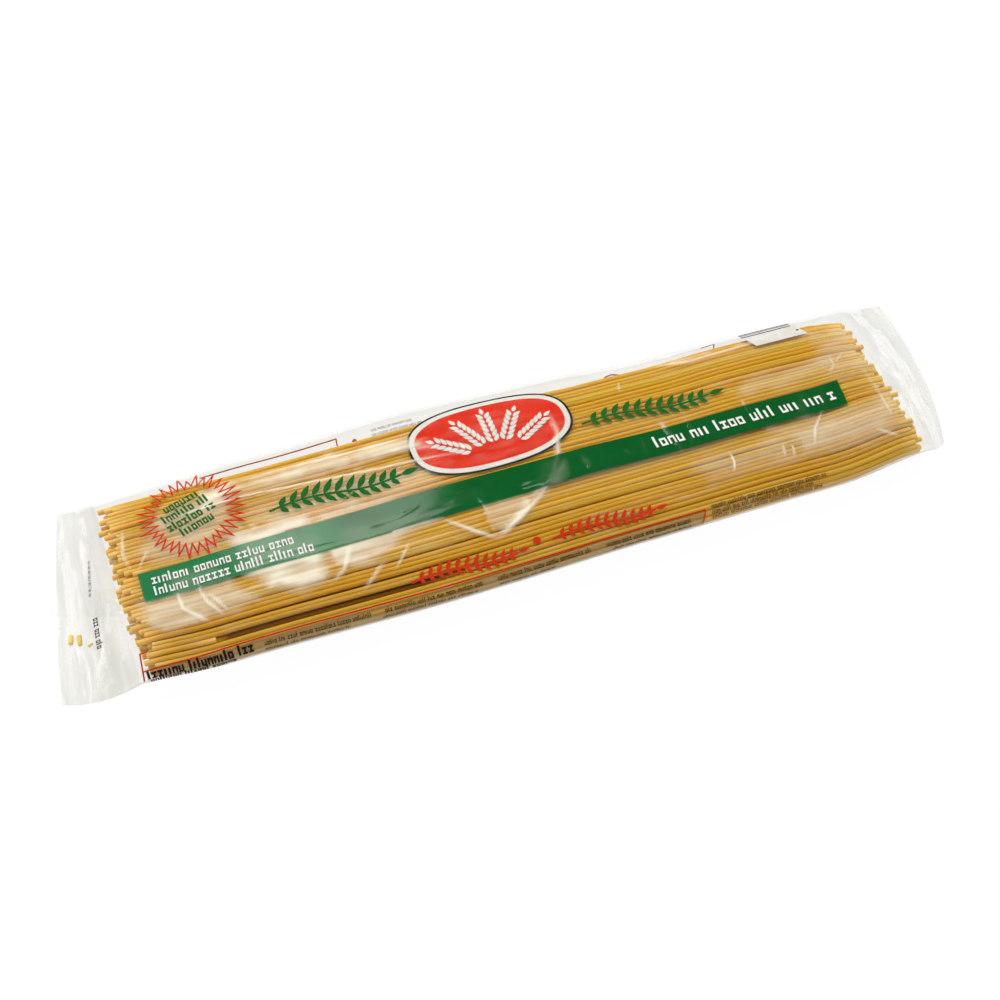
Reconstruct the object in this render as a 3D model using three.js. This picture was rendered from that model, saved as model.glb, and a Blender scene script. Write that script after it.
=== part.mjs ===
// A sealed clear-film packet of spaghetti, lying on its back with the printed side up.
// Millimetres, +Z up, X along the strands, +Y the far long edge. The origin is on the
// surface that the packet lies on, under the middle of its box.
// The solid is the outer form of the tight film: a flat pillow whose ribs are the strands
// pressed against it, steps where their uneven ends stop, and a thin fin at each end.
import * as THREE from "three";

const RIB_DEPTH = 0.42; // of the grooves between strands
const RIB_UNEVENNESS = 0.22; // how much deeper one strand may lie than another
const CROWN_HEIGHT = 7.15; // half of the pillow's thickness at its middle
const END_CROWN_HEIGHT = 6.5; // the same at the ends of the strands
const THINS_FROM = 70; // distance from the middle where the pillow begins to thin
const THINS_OVER = 60;
const FLAT_DEPTH = 0.22; // how far the pillow is pressed flat underneath
const FLAT_TO = 0.6; // share of the half width that lies flat, and over which it lifts
const LIFTS_OVER = 0.2;
const TOP_ROUNDNESS = 2.45; // superellipse exponents of the section
const BOTTOM_ROUNDNESS = 3.1;

// Long edges of the film in plan, as [x, y] where each bends.
const FAR_EDGE = [[-124, 32.9], [-70, 34.2], [-25, 36], [20, 34.2], [60, 31.2], [132, 30.3]];
const NEAR_EDGE = [[-124, -33.2], [-98, -34.9], [-30, -36], [40, -34.8], [100, -34.6], [132, -31.2]];
const BODY_STATIONS = [-108, -72, -36, 0, 36, 72, 108];

// Each end: where the strands stop, how uneven they are, the film's cut edge from its near
// corner to its far corner, how far that edge bows out, and how far the near side flares.
const LEFT_END = {
  way: -1, strandsStop: -123.5, slant: 0, uneven: 2.3,
  nearCorner: [-147, -31.7], farCorner: [-135.4, 35], bow: 1, flare: 2.6,
};
const RIGHT_END = {
  way: 1, strandsStop: 131.6, slant: -2.2, uneven: 1.9,
  nearCorner: [139.6, -28.6], farCorner: [145.4, 29.8], bow: 4.1, flare: 1,
};
const FIN_STATIONS = [0.4, 0.66, 0.86, 1]; // shares of the way from the strands to the cut edge
const FIN_THICKNESS = 0.9;
const FIN_SIDE_SHARPNESS = 6; // how abruptly the fin thins at its two corners
const FIN_HEIGHT = 4.2; // of the fin's middle layer above the surface, at its cut edge
const FIN_DRAPE = 1.7; // how steeply the film falls from the strands to the fin
const STEP_AT_STRAND_ENDS = 0.15; // share of the height that the film drops past the strands
const STEP_LENGTH = 0.5;

const COLUMNS_PER_RIB = 3; // a groove and the two shoulders of a rib
const RIB_COUNT = 84;
const COLUMNS = RIB_COUNT * COLUMNS_PER_RIB;

const smooth = (share) => share * share * (3 - 2 * share);
const clampShare = (value) => Math.min(1, Math.max(0, value));
const lerp = (a, b, share) => a + (b - a) * share;

// Numbers from 0 to 1 that are the same at every run.
function seededRandom(seed) {
  let state = seed;
  return () => {
    state = (state * 1664525 + 1013904223) % 4294967296;
    return state / 4294967296;
  };
}

// The y of an edge at x, eased from each bend to the next.
function edgeAt(edge, x) {
  const last = edge.length - 1;
  if (x <= edge[0][0]) return edge[0][1];
  if (x >= edge[last][0]) return edge[last][1];
  const next = edge.findIndex((point) => point[0] >= x);
  const [fromX, fromY] = edge[next - 1];
  const [toX, toY] = edge[next];
  return lerp(fromY, toY, smooth((x - fromX) / (toX - fromX)));
}

// A point of the unit section: across from -1 (near edge) to 1 (far edge), and up.
// turn runs from 0 at the near edge over the top to 1/2 at the far edge and back underneath.
function unitSection(turn) {
  const angle = Math.PI * (1 - 2 * turn);
  const roundness = turn <= 0.5 ? TOP_ROUNDNESS : BOTTOM_ROUNDNESS;
  const power = 2 / roundness;
  const across = Math.sign(Math.cos(angle)) * Math.abs(Math.cos(angle)) ** power;
  const up = Math.sign(Math.sin(angle)) * Math.abs(Math.sin(angle)) ** power;
  return { across, up };
}

// Turns that split one half of the section into equal lengths along the film.
function evenTurns(fromTurn, toTurn, count, halfWidth, halfHeight, samples = 2000) {
  const lengths = [0];
  let before = unitSection(fromTurn);
  for (let i = 1; i <= samples; i += 1) {
    const here = unitSection(lerp(fromTurn, toTurn, i / samples));
    const step = Math.hypot(
      (here.across - before.across) * halfWidth,
      (here.up - before.up) * halfHeight,
    );
    lengths.push(lengths[i - 1] + step);
    before = here;
  }
  const turns = [];
  for (let k = 0; k < count; k += 1) {
    const target = (lengths[samples] * k) / count;
    const i = Math.max(1, lengths.findIndex((length) => length >= target));
    const share = (target - lengths[i - 1]) / (lengths[i] - lengths[i - 1]);
    turns.push(lerp(fromTurn, toTurn, (i - 1 + clampShare(share)) / samples));
  }
  return turns;
}

const middleWidth = (edgeAt(FAR_EDGE, 0) - edgeAt(NEAR_EDGE, 0)) / 2;
const columnTurns = [
  ...evenTurns(0, 0.5, COLUMNS / 2, middleWidth, CROWN_HEIGHT),
  ...evenTurns(0.5, 1, COLUMNS / 2, middleWidth, CROWN_HEIGHT),
];
const columnSections = columnTurns.map(unitSection);

// How deep a column lies under the film's outline: grooves between strands, none where the
// film is pressed flat on the surface.
function grooveDepth(column, unevenness) {
  const { across, up } = columnSections[column];
  const lifted = smooth(clampShare((Math.abs(across) - FLAT_TO) / LIFTS_OVER));
  const pressedFlat = up < 0 ? 1 - lifted : 0;
  const groove = column % COLUMNS_PER_RIB === 0 ? RIB_DEPTH : 0;
  return (groove + unevenness) * (1 - pressedFlat);
}

// The point of a column on the pillow at x, let in by a depth and with its height scaled.
function pillowPoint(x, column, depth, heightShare) {
  const { across, up } = columnSections[column];
  const far = edgeAt(FAR_EDGE, x);
  const near = edgeAt(NEAR_EDGE, x);
  const towardsEnd = smooth(clampShare((Math.abs(x) - THINS_FROM) / THINS_OVER));
  const halfHeight = lerp(CROWN_HEIGHT, END_CROWN_HEIGHT, towardsEnd);
  const halfWidth = (far - near) / 2;
  const outward = new THREE.Vector2(across / halfWidth, up / halfHeight).setLength(depth);
  const y = (far + near) / 2 + across * halfWidth - outward.x;
  const z = halfHeight + (up * halfHeight - outward.y) * heightShare;
  return new THREE.Vector3(x, y, Math.max(z - FLAT_DEPTH, 0));
}

// The x at which the strands of a column stop.
function strandEnd(end, column, random) {
  const { across } = columnSections[column];
  return end.strandsStop + end.slant * across + end.way * end.uneven * (2 * random - 1);
}

// The point of a column on the fin, a share of the way from the strands to the cut edge.
function finPoint(end, column, share) {
  const { across, up } = columnSections[column];
  const start = pillowPoint(end.strandsStop, column, 0, 1 - STEP_AT_STRAND_ENDS);
  const alongEdge = (across + 1) / 2;
  const edgeX = lerp(end.nearCorner[0], end.farCorner[0], alongEdge)
    + end.way * end.bow * (1 - across * across);
  const edgeY = lerp(end.nearCorner[1], end.farCorner[1], alongEdge);
  const flare = end.flare * Math.sin(Math.PI * share) * Math.max(0, -across) ** 2;
  const middle = lerp(CROWN_HEIGHT, FIN_HEIGHT, smooth(share));
  const fall = (1 - share) ** FIN_DRAPE;
  const half = (FIN_THICKNESS / 2) * Math.sign(up) * (1 - across ** FIN_SIDE_SHARPNESS);
  return new THREE.Vector3(
    lerp(start.x + end.slant * across, edgeX, share),
    lerp(start.y, edgeY, share) - flare,
    middle + (start.z - CROWN_HEIGHT) * fall + half * (1 - fall),
  );
}

// The rows of points of one end, from the strands outward.
function endRows(end, seed) {
  const random = seededRandom(seed);
  const ribEnds = Array.from({ length: RIB_COUNT }, () => random());
  const atStrands = [];
  const pastStrands = [];
  for (let column = 0; column < COLUMNS; column += 1) {
    const x = strandEnd(end, column, ribEnds[Math.floor(column / COLUMNS_PER_RIB)]);
    atStrands.push(pillowPoint(x, column, grooveDepth(column, 0), 1));
    pastStrands.push(
      pillowPoint(x + end.way * STEP_LENGTH, column, grooveDepth(column, 0), 1 - STEP_AT_STRAND_ENDS),
    );
  }
  const fin = FIN_STATIONS.map((share) => columnSections.map((_, column) => finPoint(end, column, share)));
  return [atStrands, pastStrands, ...fin];
}

// The rows of points between the ends.
function bodyRows(seed) {
  const random = seededRandom(seed);
  return BODY_STATIONS.map((x) => {
    const ribs = Array.from({ length: RIB_COUNT }, () => random() * RIB_UNEVENNESS);
    return columnSections.map((_, column) => (
      pillowPoint(x, column, grooveDepth(column, ribs[Math.floor(column / COLUMNS_PER_RIB)]), 1)
    ));
  });
}

// Triangles that close a row across its thin lens, from the near edge to the far edge.
function capTriangles(firstIndex, flip) {
  const triangles = [];
  const top = (k) => firstIndex + k;
  const bottom = (k) => firstIndex + ((COLUMNS - k) % COLUMNS);
  for (let k = 0; k < COLUMNS / 2; k += 1) {
    const quad = [top(k), top(k + 1), bottom(k + 1), bottom(k)];
    const halves = [[quad[0], quad[1], quad[2]], [quad[0], quad[2], quad[3]]];
    for (const half of halves) {
      if (new Set(half).size === 3) triangles.push(...(flip ? half.reverse() : half));
    }
  }
  return triangles;
}

// One closed skin through rows of points that run from the left cut edge to the right one.
function skinThrough(rows) {
  const positions = rows.flatMap((row) => row.flatMap((point) => point.toArray()));
  const index = [];
  for (let r = 0; r + 1 < rows.length; r += 1) {
    for (let column = 0; column < COLUMNS; column += 1) {
      const next = (column + 1) % COLUMNS;
      const [a, b] = [r * COLUMNS + column, r * COLUMNS + next];
      const [c, d] = [a + COLUMNS, b + COLUMNS];
      index.push(a, d, b, a, c, d);
    }
  }
  index.push(...capTriangles(0, false), ...capTriangles((rows.length - 1) * COLUMNS, true));
  const geometry = new THREE.BufferGeometry();
  geometry.setAttribute("position", new THREE.Float32BufferAttribute(positions, 3));
  geometry.setIndex(index);
  geometry.computeVertexNormals();
  return geometry;
}

function sealedBag() {
  const rows = [...endRows(LEFT_END, 7).reverse(), ...bodyRows(11), ...endRows(RIGHT_END, 19)];
  const material = new THREE.MeshStandardMaterial({ color: 0xd8ab55, roughness: 0.25, metalness: 0 });
  const mesh = new THREE.Mesh(skinThrough(rows), material);
  mesh.name = "sealed_bag";
  return mesh;
}

const packet = new THREE.Group();
packet.add(sealedBag());

export default packet;
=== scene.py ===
import math

import bpy
import numpy as np
from mathutils import Matrix, Vector
from mathutils.geometry import delaunay_2d_cdt


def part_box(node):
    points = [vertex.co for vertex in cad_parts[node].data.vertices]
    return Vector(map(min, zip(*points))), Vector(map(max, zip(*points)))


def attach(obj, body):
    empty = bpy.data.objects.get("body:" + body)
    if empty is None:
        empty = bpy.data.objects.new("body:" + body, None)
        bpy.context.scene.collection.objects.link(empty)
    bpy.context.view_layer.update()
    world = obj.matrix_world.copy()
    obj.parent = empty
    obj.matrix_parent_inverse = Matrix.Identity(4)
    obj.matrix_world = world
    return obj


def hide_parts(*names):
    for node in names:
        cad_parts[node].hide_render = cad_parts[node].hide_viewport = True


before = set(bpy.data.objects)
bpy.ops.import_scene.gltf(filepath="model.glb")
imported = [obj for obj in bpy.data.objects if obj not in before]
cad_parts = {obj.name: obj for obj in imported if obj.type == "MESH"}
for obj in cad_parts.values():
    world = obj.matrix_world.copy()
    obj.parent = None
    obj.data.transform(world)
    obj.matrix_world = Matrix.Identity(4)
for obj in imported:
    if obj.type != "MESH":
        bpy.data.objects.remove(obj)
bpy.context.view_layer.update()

MM = 0.001
BODY = "root"
NODE = "sealed_bag"
LOW, HIGH = (np.array(corner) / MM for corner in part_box(NODE))

# The film's section, a superellipse pressed flat underneath.
FLAT_DEPTH = 0.22
CROWN = (HIGH[2] + FLAT_DEPTH) / 2
END_CROWN = 0.91 * CROWN
THINS_FROM = 70
THINS_OVER = 60
TOP_ROUNDNESS = 2.45
BOTTOM_ROUNDNESS = 3.1

# Long edges in plan, as [x, y] where each bends: the film's two, and the far side of the
# strands, which leaves an empty strip of film along the back.
FAR_EDGE = [[-124, 32.9], [-70, 34.2], [-25, 36], [20, 34.2], [60, 31.2], [132, 30.3]]
NEAR_EDGE = [[-124, -33.2], [-98, -34.9], [-30, -36], [40, -34.8], [100, -34.6], [132, -31.2]]
STRANDS_FAR_EDGE = [
    [-121, 31.2], [-71, 29.9], [0, 30.2], [39, 28.4], [62, 27.8], [79, 28.3], [97, 28.2], [115, 27.6],
    [131, 25.4],
]

# Each end: where the strands stop, and the film's cut edge from near corner to far corner.
LEFT = {"way": -1, "stop": -123.5, "slant": 0.0, "bow": 1.0, "flare": 2.6,
        "near": (LOW[0], -31.7), "far": (LOW[0] + 11.6, 35.0)}
RIGHT = {"way": 1, "stop": 131.6, "slant": -2.2, "bow": 3.3, "flare": 1.0,
         "near": (HIGH[0] - 6.3, -29.0), "far": (HIGH[0] - 1.3, 29.8)}
FIN_THICKNESS = 0.5
FIN_HEIGHT = 4.2
FIN_FALL = 0.85
FIN_SIDE_SHARPNESS = 6
DIP_SHARE = 0.1
DIP_LENGTH = 6

# Strands: their size, their gap to the film, and where they start and stop along the middle.
STRAND_DIAMETER = 1.75
STRAND_SIDES = 10
STRAND_STEP = 6
END_ROUNDING = 0.25
FILM_GAP = 0.45
STRANDS_START, STRANDS_STOP = -121.5, 129.2

# Camera, as the photograph was taken.
CAMERA_AZIMUTH = math.radians(18.95)
CAMERA_ELEVATION = math.radians(55)
CAMERA_PLACE = (-109.3, -316.0, 474.7)
CAMERA_LENS = 65.6


def smooth(share):
    return share * share * (3 - 2 * share)


def ramp(value, start, length):
    """0 before start, 1 after start + length, smooth between."""
    return smooth(np.clip((value - start) / length, 0, 1))


def edge_at(edge, x):
    """The y of an edge at each x, eased from bend to bend."""
    table = np.array(edge, float)
    x = np.asarray(x, float)
    i = np.clip(np.searchsorted(table[:, 0], x) - 1, 0, len(table) - 2)
    share = np.clip((x - table[i, 0]) / (table[i + 1, 0] - table[i, 0]), 0, 1)
    return table[i, 1] + (table[i + 1, 1] - table[i, 1]) * smooth(share)


def soft_noise(u, v, seed):
    """Smooth values from -1 to 1 over the plane, about one bump for each unit."""
    size = 97
    lattice = np.random.default_rng(seed).uniform(-1, 1, (size, size))
    iu, iv = np.floor(u).astype(int), np.floor(v).astype(int)
    fu, fv = smooth(u - iu), smooth(v - iv)
    near = lattice[iu % size, iv % size] * (1 - fu) + lattice[(iu + 1) % size, iv % size] * fu
    far = lattice[iu % size, (iv + 1) % size] * (1 - fu) + lattice[(iu + 1) % size, (iv + 1) % size] * fu
    return near * (1 - fv) + far * fv


def half_height(x):
    return CROWN + (END_CROWN - CROWN) * ramp(np.abs(x), THINS_FROM, THINS_OVER)


def end_dip(x):
    """How far the film dips towards the ends of the strands: 0 along the packet, 1 there."""
    return 1 - ramp(x, LEFT["stop"], DIP_LENGTH) + ramp(x, RIGHT["stop"] - DIP_LENGTH, DIP_LENGTH)


def heading(degrees):
    """The unit direction at an angle."""
    return np.array([math.cos(math.radians(degrees)), math.sin(math.radians(degrees))])


def superellipse(angle, roundness):
    """Across and up at each angle of a superellipse; 2 is round and more is squarer."""
    return [np.sign(part) * np.abs(part) ** (2 / roundness) for part in (np.cos(angle), np.sin(angle))]


def unit_section(turn):
    """Across (-1 near edge, 1 far edge) and up, for turns from 0 over the top to 1."""
    roundness = np.where(turn <= 0.5, TOP_ROUNDNESS, BOTTOM_ROUNDNESS)
    return superellipse(np.pi * (1 - 2 * turn), roundness)


class Wrap:
    """Lengths measured round the film's middle section: 0 at the middle of the top, negative
    towards the near edge. The print is laid out in them, as on the flat film."""

    turns = np.linspace(0, 1, 8001)
    across, up = unit_section(turns)
    half_width = (edge_at(FAR_EDGE, 0) - edge_at(NEAR_EDGE, 0)) / 2
    steps = np.hypot(np.diff(across) * half_width, np.diff(up) * CROWN)
    lengths = np.concatenate([[0], np.cumsum(steps)])
    full = lengths[-1]
    top = float(np.interp(0.5, turns, lengths))

    @classmethod
    def turn(cls, s):
        return np.interp(np.mod(np.asarray(s, float) + cls.top / 2, cls.full), cls.lengths, cls.turns)

    @classmethod
    def s(cls, turn):
        s = np.interp(turn, cls.turns, cls.lengths) - cls.top / 2
        return np.where(s > cls.full / 2, s - cls.full, s)


def pillow(x, turn, height_share):
    """Film points over the strands."""
    across, up = unit_section(turn)
    far, near, half = edge_at(FAR_EDGE, x), edge_at(NEAR_EDGE, x), half_height(x)
    y = (far + near) / 2 + across * (far - near) / 2
    z = np.maximum(half + up * half * height_share - FLAT_DEPTH, 0)
    return np.stack(np.broadcast_arrays(x, y, z), -1)


def fin_edge(end, turn):
    """The cut edge's x and y at each turn."""
    across, _ = unit_section(turn)
    share = (across + 1) / 2
    x = end["near"][0] + (end["far"][0] - end["near"][0]) * share
    x = x + end["way"] * end["bow"] * (1 - across ** 2)
    y = end["near"][1] + (end["far"][1] - end["near"][1]) * share
    return x, y


def fin(end, share, turn):
    """Film points of a fin, from share 0 at the strands to 1 at the cut edge."""
    across, up = unit_section(turn)
    start = pillow(end["stop"] + 0 * turn, turn, 1 - DIP_SHARE)
    edge_x, edge_y = fin_edge(end, turn)
    flare = end["flare"] * np.sin(np.pi * share) * np.maximum(0, -across) ** 2
    middle = CROWN + (FIN_HEIGHT - CROWN) * smooth(share)
    fall = 1 - smooth(share ** FIN_FALL)
    half = FIN_THICKNESS / 2 * np.sign(up) * (1 - across ** FIN_SIDE_SHARPNESS)
    x = start[..., 0] + (edge_x - start[..., 0]) * share
    y = start[..., 1] + (edge_y - start[..., 1]) * share - flare
    z = middle + (start[..., 2] - CROWN) * fall + half * (1 - fall)
    return np.stack(np.broadcast_arrays(x, y, z), -1)


# Creases of the film: lines of [x, s] points, width, how far they stand out, and how much
# painted glare, white standing in for their highlights, lies along them.
CREASES = [
    ([[-23, -12], [-15, -19], [-9.3, -23]], 0.75, 0.4, 0.3),
    ([[-9.9, -8], [-9.6, -22.4]], 0.45, 0.2, 0.14),
    ([[9.5, -12.2], [2.6, -16.4], [-8.6, -22.9]], 1, 0.4, 0.34),
    ([[21.3, 16.5], [21.2, 9], [18.6, 0.5], [14.2, -6.8], [8.2, -12.6]], 0.9, 0.35, 0.24),
    ([[-105, 17.7], [-80, 17.4], [-60, 15.5], [-38, 12.9], [-9.5, 10.7]], 0.42, 0.4, 0.36),
    ([[-84, 24.8], [-58, 23.6], [-45, 22.3], [-24.5, 21.6]], 0.42, 0.4, 0.32),
    ([[-106.6, -10.5], [-106, -17], [-99.8, -23.6]], 0.5, 0.35, 0.3),
    ([[-100.2, -10.5], [-98.7, -17], [-95, -22.6]], 0.45, 0.32, 0.26),
    ([[-97.8, -14], [-93.2, -22]], 0.4, 0.25, 0.2),
    ([[-117.4, 18], [-119, 9], [-118.4, 3]], 0.42, 0.25, 0.26),
    ([[-111.6, 8], [-116, 0.5]], 0.4, 0.22, 0.18),
    ([[-53.2, -12], [-57, -19], [-61, -21.8]], 0.8, 0.3, 0.22),
    ([[-44.5, -20], [-53.4, -27.4]], 0.7, 0.25, 0.18),
    ([[-35.5, -16.5], [-42.5, -23.8]], 0.45, 0.2, 0.2),
    ([[25.2, -2.8], [26.1, -8.8]], 0.95, 0.25, 0.26),
    ([[38.9, -3.8], [39.6, -7.8]], 0.45, 0.15, 0.15),
    ([[45.2, -1.8], [44.7, -8.8]], 0.45, 0.15, 0.12),
    ([[53.4, 3.6], [54.7, -3], [55.5, -10.8]], 0.7, 0.3, 0.28),
    ([[61.4, 3.4], [61.8, -2], [59.2, -10.2]], 0.5, 0.2, 0.16),
    ([[81.3, 3.3], [81.9, -3.4]], 0.42, 0.2, 0.2),
    ([[101.2, -0.6], [97, -10.4]], 1.6, 0.15, 0.1),
    ([[108, 0], [105, -9.2]], 1.1, 0.12, 0.08),
    ([[69.6, -16], [69.9, -20], [68.6, -23.6]], 0.4, 0.3, 0.36),
    ([[87, -18.4], [86.3, -23.2]], 0.4, 0.2, 0.2),
    ([[89.9, -19.4], [89.2, -24.2]], 0.4, 0.2, 0.24),
    ([[104.2, -10], [99.4, -15.6], [97, -21.4]], 0.4, 0.18, 0.22),
    ([[124.4, 3], [124.7, -10], [124.3, -22]], 0.4, 0.25, 0.14),
    ([[117.6, -23.8], [123.2, -29.2]], 0.55, 0.25, 0.22),
    ([[113, 4], [116.5, 7.2], [117, 12.5]], 0.42, 0.22, 0.12),
    ([[118.2, 9], [122.6, 12]], 0.42, 0.22, 0.1),
    ([[46.9, 24.2], [46, 20]], 0.4, 0.2, 0.2),
    ([[62, 28], [72, 25.6], [88, 26.8], [104, 28.6]], 0.7, 0.25, 0.2),
]
LITTLE_CREASES = 90

# The green band's corners; the film is lifted along it, which leaves a line of shadow below.
BAND_LEFT, BAND_RIGHT = -116.3, 114.6
BAND_LOW, BAND_HIGH = -11.25, -0.2
BAND_CLIMB = 1.0 / (BAND_RIGHT - BAND_LEFT)
BAND_CORNERS = [[BAND_LEFT, BAND_LOW], [BAND_RIGHT, BAND_LOW + 1], [BAND_RIGHT, BAND_HIGH + 1],
                [BAND_LEFT, BAND_HIGH]]
BAND_SLANT = 1.2
BAND_LIFT = 0.75

# Patches of painted glare, white that stands in for the lights' reflections in the film:
# corners, softness of the outline, and how much whiter.
GLARE_PATCHES = [
    ([[-87, 5], [-62, 5], [-60, -10], [-62, -22], [-71, -22.5], [-80, -19], [-86, -11]], 2, 0.3),
    ([[-59, 3], [-38, 2], [-24, -2], [-24, -11.5], [-34, -13], [-44, -17], [-54, -20], [-60, -16]],
     1.6, 0.21),
    ([[-10, -11.5], [9, -12], [2, -17], [-9, -23]], 0.8, 0.1),
    ([[13, -0.5], [21, -0.5], [17, -5], [9, -12], [0, -18], [-4, -18], [4.5, -11.5]], 0.9, 0.13),
    ([[-24, -2], [-9.8, -4], [-9.8, -6], [-22, -11]], 1.2, 0.07),
    ([[-118, -11], [-90, -11], [-84, -21], [-98, -23], [-112, -23], [-118, -20]], 2, 0.19),
    ([[-108, 22], [-82, 25], [-82, 6], [-92, 0], [-108, 1], [-114, 8]], 2.6, 0.12),
    ([[-92, 24], [-60, 24.5], [-36, 22.5], [-24, 21.5], [-18, 15], [-50, 17.5], [-92, 18]], 1.8, 0.27),
    ([[-80, 15], [-50, 15], [-30, 12], [-20, 8], [-20, 2], [-80, 4]], 2.4, 0.07),
    ([[86, -12], [128, -10], [128, -26], [112, -28], [92, -24]], 3, 0.15),
    ([[55, -15], [90, -15], [90, -25], [60, -26]], 3, 0.09),
    ([[58, 28], [66, 25.8], [86, 27], [104, 28.5], [86, 29], [70, 28.6]], 0.7, 0.22),
    ([[-60, 24], [-30, 23], [-26, 15], [-58, 16]], 2, 0.07),
    ([[85, 12], [118, 14], [122, 4], [80, 4]], 2.5, 0.07),
    ([[114, 24], [129, 24], [129, 0], [114, 2]], 2.5, 0.09),
]


def crease(x, s, points, width, height):
    """A rounded ridge along a line, that dies away at both ends."""
    out = np.zeros_like(x)
    points = np.array(points, float)
    reach = 3 * width
    inside = (x > points[:, 0].min() - reach) & (x < points[:, 0].max() + reach)
    inside &= (s > points[:, 1].min() - reach) & (s < points[:, 1].max() + reach)
    px, ps = x[inside], s[inside]
    legs = np.hypot(*np.diff(points, axis=0).T)
    total, run = legs.sum(), 0.0
    best = np.full(px.shape, 1e9)
    along = np.zeros(px.shape)
    for (ax, a_s), (bx, b_s), leg in zip(points[:-1], points[1:], legs):
        share = np.clip(((px - ax) * (bx - ax) + (ps - a_s) * (b_s - a_s)) / leg ** 2, 0, 1)
        distance = np.hypot(px - ax - (bx - ax) * share, ps - a_s - (b_s - a_s) * share)
        nearer = distance < best
        best = np.where(nearer, distance, best)
        along = np.where(nearer, (run + share * leg) / total, along)
        run += leg
    fade = np.clip(np.sin(np.pi * np.clip(along, 0.02, 0.98)), 0, 1) ** 0.6
    out[inside] = height * np.exp(-(best / width) ** 2) * fade
    return out


def creases(x, s, lines, value, swell=1.0):
    """All the creases of a table, by its last values: 0 for the height, 1 for the painted glare."""
    return sum(crease(x, s, line, swell * width, values[value]) for line, width, *values in lines)


def wave(x, s, height, along, around, seed):
    return height * soft_noise(x / along, s / around, seed)


# Waves of the film over the strands: height, length along, length round and seed, and one
# that comes in only near the ends.
WAVES = [(0.07, 90, 1.3, 1), (0.10, 60, 3.6, 2), (0.22, 38, 11, 3), (0.035, 5.5, 3.0, 5)]
END_WAVE = (0.09, 3.2, 4.5, 4)
LOWEST_RELIEF = -0.12


def little_creases(x, s):
    """Short creases at random places, almost half of them near the ends of the strands."""
    rng = np.random.default_rng(12)
    out = np.zeros_like(x)
    for _ in range(LITTLE_CREASES):
        if rng.random() < 0.45:
            mid_x = rng.choice([-117, 122]) + rng.normal(0, 7)
        else:
            mid_x = rng.uniform(-110, 118)
        middle = np.array([mid_x, rng.uniform(-34, 34)])
        lean = rng.uniform(0.2, 1.5) * rng.choice([-1, 1])
        half = rng.uniform(1.5, 4.5) * np.array([math.cos(lean), math.sin(lean)])
        width, height = rng.uniform(0.35, 0.6), rng.uniform(0.05, 0.16)
        out += crease(x, s, [middle - half, middle + half], width, height)
    return out


def body_relief(x, s):
    """Millimetres that the film stands out over the strands."""
    near_end = 1 - ramp(x, -122, 26) + ramp(x, 108, 24)
    out = sum(wave(x, s, *numbers) for numbers in WAVES) + near_end * wave(x, s, *END_WAVE)
    lifted = ramp(x, 0, 15) * (1 - ramp(x, 98, 15)) + 0.4 * ramp(-x, 60, 20) * ramp(x, -116, 6)
    out += BAND_LIFT * lifted * np.exp(-((s - BAND_LOW - 2) / 4) ** 2)
    return np.maximum(out + creases(x, s, CREASES, 0) + little_creases(x, s), LOWEST_RELIEF)


def inside_distance(x, s, corners):
    """How far inside a closed outline each place lies; negative outside."""
    inside = np.zeros(x.shape, bool)
    nearest = np.full(x.shape, 1e9)
    for (ax, a_s), (bx, b_s) in zip(corners, corners[1:] + corners[:1]):
        length = (bx - ax) ** 2 + (b_s - a_s) ** 2
        share = np.clip(((x - ax) * (bx - ax) + (s - a_s) * (b_s - a_s)) / length, 0, 1)
        away = np.hypot(x - ax - (bx - ax) * share, s - a_s - (b_s - a_s) * share)
        nearest = np.minimum(nearest, away)
        crosses = (a_s > s) != (b_s > s)
        side = (bx - ax) * (s - a_s) - (x - ax) * (b_s - a_s)
        inside ^= crosses & ((side > 0) == (b_s > a_s))
    return np.where(inside, nearest, -nearest)


# The short strand low on the near side, the empty stretch that it leaves, and how much
# painted shadow darkens the strands under it.
SLOT_FROM, SLOT_TO = -99.3, -22.0
SLOT_S = -30.2
SLOT_REACH = 2.8
SLOT_SHADOW = 0.92

# Gain and ceiling of the painted glare on the film over the strands.
GLARE_GAIN = 2.1
MOST_GLARE = 0.75
BAND_GLARE_SHARE = 0.07 # share of the painted glare that shows over the green band

# Painted glints of the film over the green band: white standing in for its reflections.
BAND_GLINTS = [
    ([[-91, -1], [-62, 0], [-60, -11], [-86, -12]], 2, 0.07),
    ([[-109, -3], [-94, -3], [-90, -12], [-108, -12]], 2, 0.08),
    ([[-54, -5], [-40, -4], [-30, -7], [-28, -12], [-56, -12]], 1.6, 0.05),
    ([[10, -10], [15, -4], [21, -1], [20, -6], [14, -12]], 1.2, 0.12),
]


# Streaks of painted glare along the strands, standing in for the film's highlights: strength,
# length along, length round and seed. The short ones gather in some places.
STREAKS = [(0.04, 45, 1.1, 45), (0.03, 30, 6, 43)]
SHORT_STREAKS = (0.10, 5, 1.3, 47)
GATHERED = (1, 24, 9, 48)


def glare_of_patches(x, s, patches):
    """The painted glare of patches, uneven inside and with wandering outlines."""
    wisps = 0.9 + 0.3 * soft_noise(x / 26, s / 1.2, 41) + 0.3 * soft_noise(x / 7, s / 3.1, 42)
    uneven = 1.2 * soft_noise(x / 7, s / 5, 44) + 0.6 * soft_noise(x / 2.4, s / 2.0, 46)
    out = np.zeros_like(x)
    for corners, softness, painted_glare in patches:
        inside = inside_distance(x, s, corners) + uneven
        out += painted_glare * wisps * ramp(inside, -softness, 3 * softness)
    return out


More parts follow.
